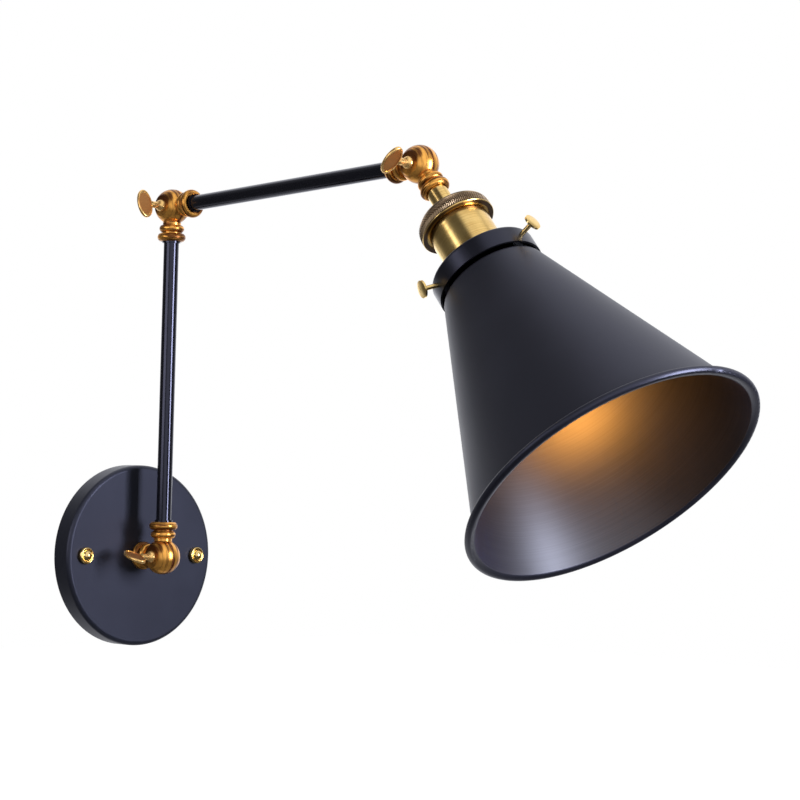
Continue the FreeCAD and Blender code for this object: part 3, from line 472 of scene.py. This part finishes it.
# %% Holder brass
BRUSH_MARKS = (25, 25, 2600)
YELLOW_BRASS = ((1.0, 0.71, 0.27), (0.74, 0.47, 0.15))
BRIGHT_BRASS = ((1.0, 0.74, 0.31), (0.84, 0.55, 0.18))


def brushed_metal(name, origin, along, tones, roughness):
    finish = new_finish(name)
    place = finish.local(origin, along)
    marks = finish.noise(finish.stretched(place, BRUSH_MARKS), detail=3, roughness=0.65)
    cloud = finish.noise(place, scale=70, detail=3)
    return finish.surface(
        base_color=finish.mix((cloud * 0.4 + marks * 0.6).ramp(0.35, 0.68), *tones),
        metallic=1.0,
        roughness=roughness + (marks - 0.5) * 0.12,
        normal=finish.bump(marks, strength=0.15, distance=0.03 * MM),
    )


dress(brushed_metal("brushed_brass_shell", head_ball, head_axis, YELLOW_BRASS, roughness=0.2),
      "holder_shell")
for number in (1, 2, 3):
    screw = f"gallery_screw_{number}"
    turn = f"{screw}_turn"
    bright_brass = brushed_metal(
        f"bright_brass_{screw}", joint_at[turn], joint_axis[turn], BRIGHT_BRASS, roughness=0.2)
    dress(bright_brass, screw)
dress(brushed_metal("contact_brass", head_ball, head_axis, BRIGHT_BRASS, roughness=0.3),
      "holder_screw_shell", "holder_contact")
dress(brushed_metal("earth_brass", (0, 0, 0), wall_axis, YELLOW_BRASS, roughness=0.3),
      "earth_screw")
print("brass on the holder and its screws")

# %% [markdown]
# ## The knurled cap
# The bell over the holder is rolled with a fine diamond knurl, which a bump could only fake at its
# outline. Spinning the bell's outline gives a grid of small squares. If every second corner of
# that grid is raised, as on a chess board, the squares turn into diamonds. The rows get closer
# towards the neck, so that the diamonds keep their shape.

# %% Outline of the bell
BELL_TOP = Vector((7.6 * MM, 37.0 * MM))
BELL_SLOPE = math.radians(30)
BELL_ROUND = 8.0 * MM
BELL_RADIUS = 24.6 * MM
RIM_START = 54.7 * MM
arc_centre_radius = BELL_RADIUS - BELL_ROUND
cone_end_radius = arc_centre_radius + BELL_ROUND * math.sin(BELL_SLOPE)
cone_length = (cone_end_radius - BELL_TOP.x) / math.cos(BELL_SLOPE)
arc_length = BELL_ROUND * (math.pi / 2 - BELL_SLOPE)
cone_rise = cone_length * math.sin(BELL_SLOPE)
arc_centre_station = BELL_TOP.y + cone_rise + BELL_ROUND * math.cos(BELL_SLOPE)
knurl_length = cone_length + arc_length + RIM_START - arc_centre_station


def bell_outline(distance):
    """Radius and station at a distance along the bell's outside."""
    if distance < cone_length:
        return BELL_TOP + distance * Vector((math.cos(BELL_SLOPE), math.sin(BELL_SLOPE)))
    if distance < cone_length + arc_length:
        turn = BELL_SLOPE - math.pi / 2 + (distance - cone_length) / BELL_ROUND
        return Vector((arc_centre_radius + BELL_ROUND * math.cos(turn),
                       arc_centre_station + BELL_ROUND * math.sin(turn)))
    return Vector((BELL_RADIUS, arc_centre_station + distance - cone_length - arc_length))


print("knurled length:", round(knurl_length / MM, 1), "mm")

# %% Rows of the cap
DIAMONDS = 98
NECK_START = 22.9 * MM
NECK_RADIUS = 6.9 * MM
NECK_CHAMFER = 0.4 * MM
NECK_FILLET = 1.0 * MM
BELL_END = 55.5 * MM
RIM_PROUD = 0.25 * MM
RIM_GROOVE = 0.1 * MM
RIM_CHAMFER = 0.3 * MM
CAP_BORE = 5.2 * MM
CAP_LIP_RADIUS = 21.7 * MM
CAP_WALL = 1.3 * MM
INNER_CORNER = 4.5 * MM
knurl_rows = [BELL_TOP]
walked = 0
while walked < knurl_length:
    walked += math.pi * knurl_rows[-1].x / DIAMONDS
    knurl_rows.append(bell_outline(min(walked, knurl_length)))
neck_rows = [
    (CAP_BORE, NECK_START),
    (NECK_RADIUS - NECK_CHAMFER, NECK_START),
    (NECK_RADIUS, NECK_START + NECK_CHAMFER),
    (NECK_RADIUS, BELL_TOP.y - NECK_FILLET),
    (NECK_RADIUS + 0.2 * NECK_FILLET, BELL_TOP.y - 0.4 * NECK_FILLET),
]
rim_rows = [
    (BELL_RADIUS + RIM_PROUD, RIM_START + RIM_GROOVE),
    (BELL_RADIUS + RIM_PROUD, BELL_END - RIM_CHAMFER),
    (BELL_RADIUS, BELL_END),
    (CAP_LIP_RADIUS, BELL_END),
    (CAP_LIP_RADIUS, BELL_END - CAP_WALL),
    (BELL_RADIUS - CAP_WALL, BELL_END - CAP_WALL),
    (BELL_RADIUS - CAP_WALL, arc_centre_station),
    (cone_end_radius - CAP_WALL, arc_centre_station - INNER_CORNER),
    (CAP_BORE, BELL_TOP.y + 2 * CAP_WALL),
]
cap_rows = [*neck_rows, *(tuple(row) for row in knurl_rows), *rim_rows]
first_knurl = len(neck_rows)
last_knurl = first_knurl + len(knurl_rows) - 1
print("knurl rows:", len(knurl_rows), "of", len(cap_rows))

# %% Spinning and placing
MERGE_DISTANCE = 1e-6


def spun(rows, steps):
    """A new mesh of (radius, station) rows spun about +Z."""
    bm = bmesh.new()
    outline = [bm.verts.new((radius, 0, station)) for radius, station in rows]
    edges = [bm.edges.new(pair) for pair in zip(outline, outline[1:])]
    bmesh.ops.spin(bm, geom=outline + edges, cent=(0, 0, 0), axis=UP, angle=2 * math.pi,
                   steps=steps, use_merge=True)
    bmesh.ops.remove_doubles(bm, verts=bm.verts, dist=MERGE_DISTANCE)
    bmesh.ops.recalc_face_normals(bm, faces=bm.faces)
    return bm


def mesh_object(name, bm):
    """Put a finished mesh in the scene."""
    mesh = bpy.data.meshes.new(name)
    bm.to_mesh(mesh)
    bm.free()
    made = bpy.data.objects.new(name, mesh)
    scene.collection.objects.link(made)
    print(name, "has", len(mesh.polygons), "faces")
    return made


def new_piece(name, bm, body, node):
    """Put a mesh in the scene in place of a CAD node."""
    piece = mesh_object(name, bm)
    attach(piece, body)
    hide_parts(node)
    return piece


print("ready to spin")

# %% Knurled cap
KNURL_DEPTH = 0.55 * MM
INNER_WALL_GAP = 0.1 * MM


def raise_diamonds(bm):
    """Lift every second corner of the spun grid and note it for the material."""
    peak = bm.verts.layers.float.new("knurl")
    row_at = {round(station / MM, 4): number for number, (_, station) in enumerate(cap_rows)
              if first_knurl < number < last_knurl}
    for vert in bm.verts:
        row = row_at.get(round(vert.co.z / MM, 4))
        if row is None or vert.co.xy.length < cap_rows[row][0] - INNER_WALL_GAP:
            continue
        column = round(math.atan2(vert.co.y, vert.co.x) * DIAMONDS / math.pi)
        raised = (row + column) % 2
        slope = Vector(cap_rows[row + 1]) - Vector(cap_rows[row - 1])
        outward = Vector((*(vert.co.xy.normalized() * slope.y), -slope.x)).normalized()
        vert.co += outward * KNURL_DEPTH * (raised - 0.5)
        vert[peak] = raised


bm = spun([*cap_rows, cap_rows[0]], 2 * DIAMONDS)
raise_diamonds(bm)
on_head = Matrix.Translation(head_ball) @ turn_to(head_axis).to_matrix().to_4x4()
bmesh.ops.transform(bm, matrix=on_head, verts=bm.verts)
knurled_cap = new_piece("knurled_cap", bm, "head", "holder_cap")

# %% [markdown]
# The cap's bronze is dark in the valleys of the knurl and worn on its points. Noise alone would put
# the wear anywhere, so the attribute from the last cell tells the points from the valleys. The neck
# and the rim were left smooth and polished to yellow brass.

# %% Cap bronze
KNURL_VALLEY = (0.10, 0.06, 0.035)
KNURL_POINT = (0.72, 0.53, 0.33)
RIM_BLEND = 0.2 * MM
RIM_EDGE = 0.3 * MM
NECK_BLEND = 0.4 * MM


def cap_bronze(name):
    finish = new_finish(name)
    place = finish.local(head_ball, head_axis)
    across, up, station = finish.parts(place)
    outermost = radius_of(across, up).ramp(BELL_RADIUS - RIM_EDGE, BELL_RADIUS)
    rim = station.ramp(RIM_START, RIM_START + RIM_BLEND) * outermost
    neck = 1 - station.ramp(BELL_TOP.y, BELL_TOP.y + NECK_BLEND)
    smooth = rim + neck
    peak = finish.node("ShaderNodeAttribute", {"attribute_name": "knurl"}, output="Fac")
    cloud = finish.noise(place, scale=120, detail=4)
    marks = finish.noise(finish.stretched(place, BRUSH_MARKS), detail=2)
    worn = (peak * 0.8 + (cloud - 0.5) * 0.6).ramp(0.15, 0.85)
    knurl = finish.mix(worn, KNURL_VALLEY, KNURL_POINT)
    polished = finish.mix(marks.ramp(0.35, 0.65), *YELLOW_BRASS)
    return finish.surface(
        base_color=finish.mix(smooth, knurl, polished),
        metallic=1.0,
        roughness=0.36 - smooth * 0.16 + (marks - 0.5) * 0.1,
    )


knurled_cap.data.materials.append(cap_bronze("cap_bronze"))
print("bronze on the cap")

# %% [markdown]
# ## Cap nuts
# Two nuts hold the canopy on its studs. Each has a raised rim, a groove and a low dome, which the
# plain nut of the frame lacks. They could be cut from a cylinder with insets and bevels, but the
# spin of the cap makes them at once: one outline from the tip of the dome to the back, spun twice
# and joined.

# %% Cap nuts
NUT_STEPS = 40
NUT_RADIUS = 5.9 * MM
NUT_OUTLINE_MM = [
    (0, 5.9), (1.4, 5.65), (2.7, 4.95), (3.6, 3.8), (3.9, 2.6), (4.2, 2.3), (4.5, 2.6),
    (4.7, 3.1), (5.0, 3.35), (5.4, 3.3), (5.75, 2.95), (5.9, 2.4), (5.9, 0), (0, 0),
]
low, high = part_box("canopy_cap_nuts")
nut_mesh = bmesh.new()
for side in (-1, 1):
    nut = spun([(radius * MM, station * MM) for radius, station in NUT_OUTLINE_MM], NUT_STEPS)
    place = Matrix.Translation((side * (high[0] - NUT_RADIUS), high[1], (low[2] + high[2]) / 2))
    off_wall = Matrix.Rotation(math.pi / 2, 4, "X")
    bmesh.ops.transform(nut, matrix=place @ off_wall, verts=nut.verts)
    for face in nut.faces:
        face.smooth = True
    single = bpy.data.meshes.new("nut")
    nut.to_mesh(single)
    nut.free()
    nut_mesh.from_mesh(single)
    bpy.data.meshes.remove(single)
cap_nuts = new_piece("cap_nuts", nut_mesh, "wall_mount", "canopy_cap_nuts")
nut_brass = brushed_metal("bright_brass_nuts", base_ball, wall_axis, BRIGHT_BRASS, roughness=0.2)
cap_nuts.data.materials.append(nut_brass)

# %% [markdown]
# ## Plated steel
# The crossbar, studs and nuts behind the canopy are zinc plated. Zinc has a pale bluish grey with a
# faint yellow bloom from its passivation, and a dull spangle. A plain grey metal would look like
# chrome, so two noises at different scales give the bloom and the spangle.

# %% Zinc
ZINC_BLUE = (0.56, 0.58, 0.62)
ZINC_BLOOM = (0.60, 0.57, 0.47)
ZINC_DULL = (0.40, 0.41, 0.44)


def zinc_plate(name):
    finish = new_finish(name)
    place = finish.local()
    bloom = finish.noise(place, scale=60, detail=3)
    spangle = finish.noise(place, scale=700, detail=2)
    plate = finish.mix(bloom.ramp(0.4, 0.65), ZINC_BLUE, ZINC_BLOOM)
    return finish.surface(
        base_color=finish.mix(spangle.ramp(0.45, 0.75), plate, ZINC_DULL),
        metallic=0.9,
        roughness=0.32 + (spangle - 0.5) * 0.2 + (bloom - 0.5) * 0.1,
        normal=finish.bump(spangle, strength=0.15, distance=0.02 * MM),
    )


dress(zinc_plate("zinc_plate"), "mounting_crossbar", "canopy_studs", "canopy_nipple",
      "nipple_washer", "nipple_lock_nut", "holder_stem", "holder_lock_nut", "terminal_screws",
      "terminal_fixing_screw")
print("zinc on the fixings")

# %% [markdown]
# ## Mouldings and sheaths
# The terminal block is nylon, the holder's insulator and shade ring are phenolic resin, and the
# friction washers are red fibre. All of them are matt with a fine mottle, so one function takes
# their two colours, their roughness and the scale of the mottle along each axis, where four
# materials drawn by hand would repeat it. The leads have a softer sheath, made the same way.

# %% Mouldings
NYLON = ((0.80, 0.79, 0.74), (0.72, 0.70, 0.63))
RESIN = ((0.030, 0.022, 0.018), (0.060, 0.040, 0.028))
FIBRE = ((0.24, 0.065, 0.035), (0.36, 0.12, 0.06))
SHEATH = ((0.030, 0.030, 0.030), (0.050, 0.048, 0.045))


def moulding(name, tones, roughness, stretch):
    finish = new_finish(name)
    place = finish.local()
    mottle = finish.noise(finish.stretched(place, stretch), detail=4, roughness=0.6)
    grain = finish.noise(place, scale=2200, detail=1)
    return finish.surface(
        base_color=finish.mix(mottle.ramp(0.35, 0.7), *tones),
        roughness=roughness + (mottle - 0.5) * 0.12,
        normal=finish.bump(grain * 0.5 + mottle, strength=0.2, distance=0.03 * MM),
    )


dress(moulding("terminal_nylon", NYLON, roughness=0.45, stretch=(220, 220, 220)),
      "terminal_block")
dress(moulding("phenolic", RESIN, roughness=0.28, stretch=(320, 320, 320)),
      "holder_insulator", "shade_nut")
dress(moulding("red_fibre", FIBRE, roughness=0.7, stretch=(200, 1500, 1500)),
      "base_friction_washer", "elbow_friction_washer", "head_friction_washer")
dress(moulding("lead_sheath", SHEATH, roughness=0.4, stretch=(260, 260, 260)),
      "canopy_leads", "holder_leads", "lower_arm_flex", "upper_arm_flex")
print("mouldings and leads")

# %% [markdown]
# ## The bulb
# The photograph shows the bulb only by its glow, so it is a clear globe with a ring filament. Real
# glass would block the lamp's own light in the renderer, so the globe is see-through by Alpha:
# nearly clear where it faces the eye and denser at its edge. The filament glows by emission.

# %% Bulb
GLASS_TINTS = ((0.95, 0.90, 0.80), (0.98, 0.95, 0.88))
TUNGSTEN = (0.2, 0.12, 0.06)
FILAMENT_TINTS = ((1.0, 0.55, 0.18), (1.0, 0.75, 0.35))
FILAMENT_GLOW = 8
NICKEL = ((0.62, 0.60, 0.55), (0.45, 0.43, 0.38))
glass = new_finish("bulb_clear_glass")
facing = glass.node("ShaderNodeLayerWeight", None, {"Blend": 0.35}, output="Facing")
streaks = glass.noise(glass.local(head_ball, head_axis), scale=90)
dress(glass.surface(
    base_color=glass.mix(streaks.ramp(0.3, 0.7), *GLASS_TINTS),
    roughness=0.03 + streaks * 0.03,
    alpha=0.06 + facing * 0.5,
), "bulb_glass", "bulb_stem")
filament = new_finish("glowing_filament")
coils = filament.noise(filament.local(), scale=3000)
dress(filament.surface(
    base_color=TUNGSTEN,
    emission_color=filament.mix(coils.ramp(0.3, 0.7), *FILAMENT_TINTS),
    emission_strength=FILAMENT_GLOW,
), "bulb_filament")
dress(brushed_metal("bulb_nickel", head_ball, head_axis, NICKEL, roughness=0.25),
      "bulb_cap", "bulb_tip_contact")
replaced = {"holder_cap", "canopy_cap_nuts"}
print("left without a finish:", sorted(set(frame["nodes"]) - dressed - replaced))

# %% [markdown]
# The filament alone would light the shade with a lot of noise, because it is so thin. A small warm
# point lamp does it instead. It stands on the bulb's axis just past the glass, where the
# photograph's glow seems to come from, and rides on the head.

# %% Glow
GLOW_POWER = 0.5
GLOW_STATION = 198 * MM
GLOW_SIZE = 16 * MM
GLOW_TINT = (1.0, 0.40, 0.065)
glow_light = bpy.data.lights.new("bulb_glow", "POINT")
glow_light.energy = GLOW_POWER
glow_light.color = GLOW_TINT
glow_light.shadow_soft_size = GLOW_SIZE
glow = bpy.data.objects.new("bulb_glow", glow_light)
glow.location = head_ball + head_axis * GLOW_STATION
glow.visible_camera = False
scene.collection.objects.link(glow)
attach(glow, "head")
print("bulb glows at", [round(v, 3) for v in glow.location])

# %% [markdown]
# ## The studio
# A black and brass lamp is lit by what it reflects, so its lights are boxes with a size, where a
# sun lamp would leave only dots. The key is a narrow soft box close by on the right. It shines past
# the shade onto the canopy, throws the tube's shadow there and draws one streak on the tube. A
# broad, dimmer panel on the left draws the other streak and the spots on the balls.

# %% Soft boxes
VIEW_AZIMUTH = math.pi / 2 - CAMERA_YAW
lamp_centre = Vector((0, -0.22, 0.12))


def towards(turn, height):
    """Direction from the lamp, in degrees to the camera's right and above level."""
    angle = VIEW_AZIMUTH + math.pi + math.radians(turn)
    rise = math.radians(height)
    flat = Vector((math.cos(angle), math.sin(angle), 0))
    return (flat * math.cos(rise) + UP * math.sin(rise)).normalized()


def soft_box(name, turn, height, distance, size, radiance, tint):
    light = bpy.data.lights.new(name, "AREA")
    light.shape = "RECTANGLE"
    light.size, light.size_y = size
    light.energy = radiance * math.pi * size[0] * size[1]
    light.color = tint
    box = bpy.data.objects.new(name, light)
    scene.collection.objects.link(box)
    way = towards(turn, height)
    box.location = lamp_centre + way * distance
    box.rotation_euler = (-way).to_track_quat("-Z", "Y").to_euler()
    print(name, "at", [round(v, 2) for v in box.location])


soft_box("soft_box_key", turn=63, height=5, distance=0.95, size=(0.3, 0.6), radiance=22,
         tint=(0.86, 0.89, 1.0))
soft_box("soft_box_left", turn=-50, height=13, distance=1.7, size=(1.15, 0.95), radiance=2.3,
         tint=(0.97, 0.96, 1.0))

# %% [markdown]
# ## The floor
# The floor lies far below the lamp and is pale. More light could turn it white, but it would bleach
# the lamp as well. So the floor glows for the rays that show a background, until it reads as white,
# and it still takes the lamp's shadow.

# %% Floor
BLACK = (0, 0, 0)
WHITE = (1, 1, 1)
FLOOR_TONES = ((0.90, 0.90, 0.90), (0.92, 0.92, 0.92))
FLOOR_LEVEL = -1.3
FLOOR_HALF_WIDTH = 14
FLOOR_GLOW = 0.94


def shown(finish):
    """1 for the rays that show a background: from the camera, off gloss and through glass."""
    seen = finish.node("ShaderNodeLightPath", output="Is Camera Ray")
    for ray in ("Is Glossy Ray", "Is Transmission Ray"):
        seen = seen.math("MAXIMUM", finish.node("ShaderNodeLightPath", output=ray))
    return seen


def stage_object(name, bm, material):
    staged = mesh_object(name, bm)
    staged.data.materials.append(material)
    return staged


floor_finish = new_finish("floor_white")
floor_tone = floor_finish.noise(floor_finish.local(), scale=3)
floor_finish.surface(
    base_color=floor_finish.mix(floor_tone.ramp(0.3, 0.7), *FLOOR_TONES),
    roughness=0.95,
    emission_color=floor_finish.mix(shown(floor_finish), BLACK, WHITE),
    emission_strength=FLOOR_GLOW,
)
bm = bmesh.new()
bmesh.ops.create_grid(bm, x_segments=1, y_segments=1, size=FLOOR_HALF_WIDTH)
bmesh.ops.translate(bm, verts=bm.verts, vec=(0, 0, FLOOR_LEVEL))
floor = stage_object("floor", bm, floor_finish.owner)
floor.visible_glossy = False

# %% [markdown]
# ## The room
# The room is a ball-shaped shell round the lamp, which the camera doesn't see. It is nearly black,
# with soft patches of light behind the lamp, low behind it, above it and in front. Brass mirrors
# the patches and stays dark between them, which makes it look like metal. A darker patch at the
# right is what the canopy mirrors, so that it stays black. A studio picture could do the same, but
# a patch is only an angle and needs no file.

# %% Room
ROOM_RADIUS = 4
ROOM_GLOW = 2.0
ROOM_TINT = (0.95, 0.96, 1.0)
ROOM_FILL = 0.045
room_finish = new_finish("room_light")


def patch(turn, height, edge, core, strength):
    """A soft patch on the room's shell. Edge and core are cosines of angles from its middle."""
    _, _, depth = room_finish.parts(room_finish.local(lamp_centre, towards(turn, height)))
    return (depth / ROOM_RADIUS).ramp(edge, core) * strength


wide_behind = patch(turn=170, height=25, edge=0.1, core=0.4, strength=0.065)
behind = patch(turn=170, height=25, edge=0.5, core=0.8, strength=0.45)
low_behind = patch(turn=-170, height=-25, edge=0.6, core=0.9, strength=0.3)
above = patch(turn=45, height=65, edge=0.8, core=0.94, strength=0.42)
in_front = patch(turn=14, height=14, edge=0.74, core=0.95, strength=0.45)
fill = ROOM_FILL - patch(turn=85, height=-5, edge=0.6, core=0.9, strength=0.04)
room_light = fill + wide_behind + behind + low_behind + above + in_front
room_finish.surface(
    base_color=BLACK,
    specular_ior_level=0.0,
    emission_color=room_finish.mix(room_light, BLACK, ROOM_TINT),
    emission_strength=ROOM_GLOW,
)
bm = bmesh.new()
bmesh.ops.create_uvsphere(bm, u_segments=48, v_segments=24, radius=ROOM_RADIUS)
bmesh.ops.translate(bm, verts=bm.verts, vec=lamp_centre)
room = stage_object("room", bm, room_finish.owner)
for ray in ("camera", "transmission", "volume_scatter", "shadow"):
    setattr(room, f"visible_{ray}", False)

# %% [markdown]
# ## The world
# Outside the room, the world is white to the camera. An even white for all rays would light the far
# floor too much, so it is low for the rest, and the far floor is lit about as the near floor is.

# %% World
FAR_FILL = 0.06
world = Finish(bpy.data.worlds.new("studio"))
scene.world = world.owner
background = world.tree.nodes["Background"]
world.feed(background.inputs["Color"], WHITE)
world.feed(background.inputs["Strength"], FAR_FILL + shown(world) * (1 - FAR_FILL))
print("world fill", FAR_FILL)

# %% [markdown]
# ## Sizes
# The dressed lamp has to be as large as the frame. The last cell only prints that the dressing is
# done.

# %% Sizes
print("dressing done")
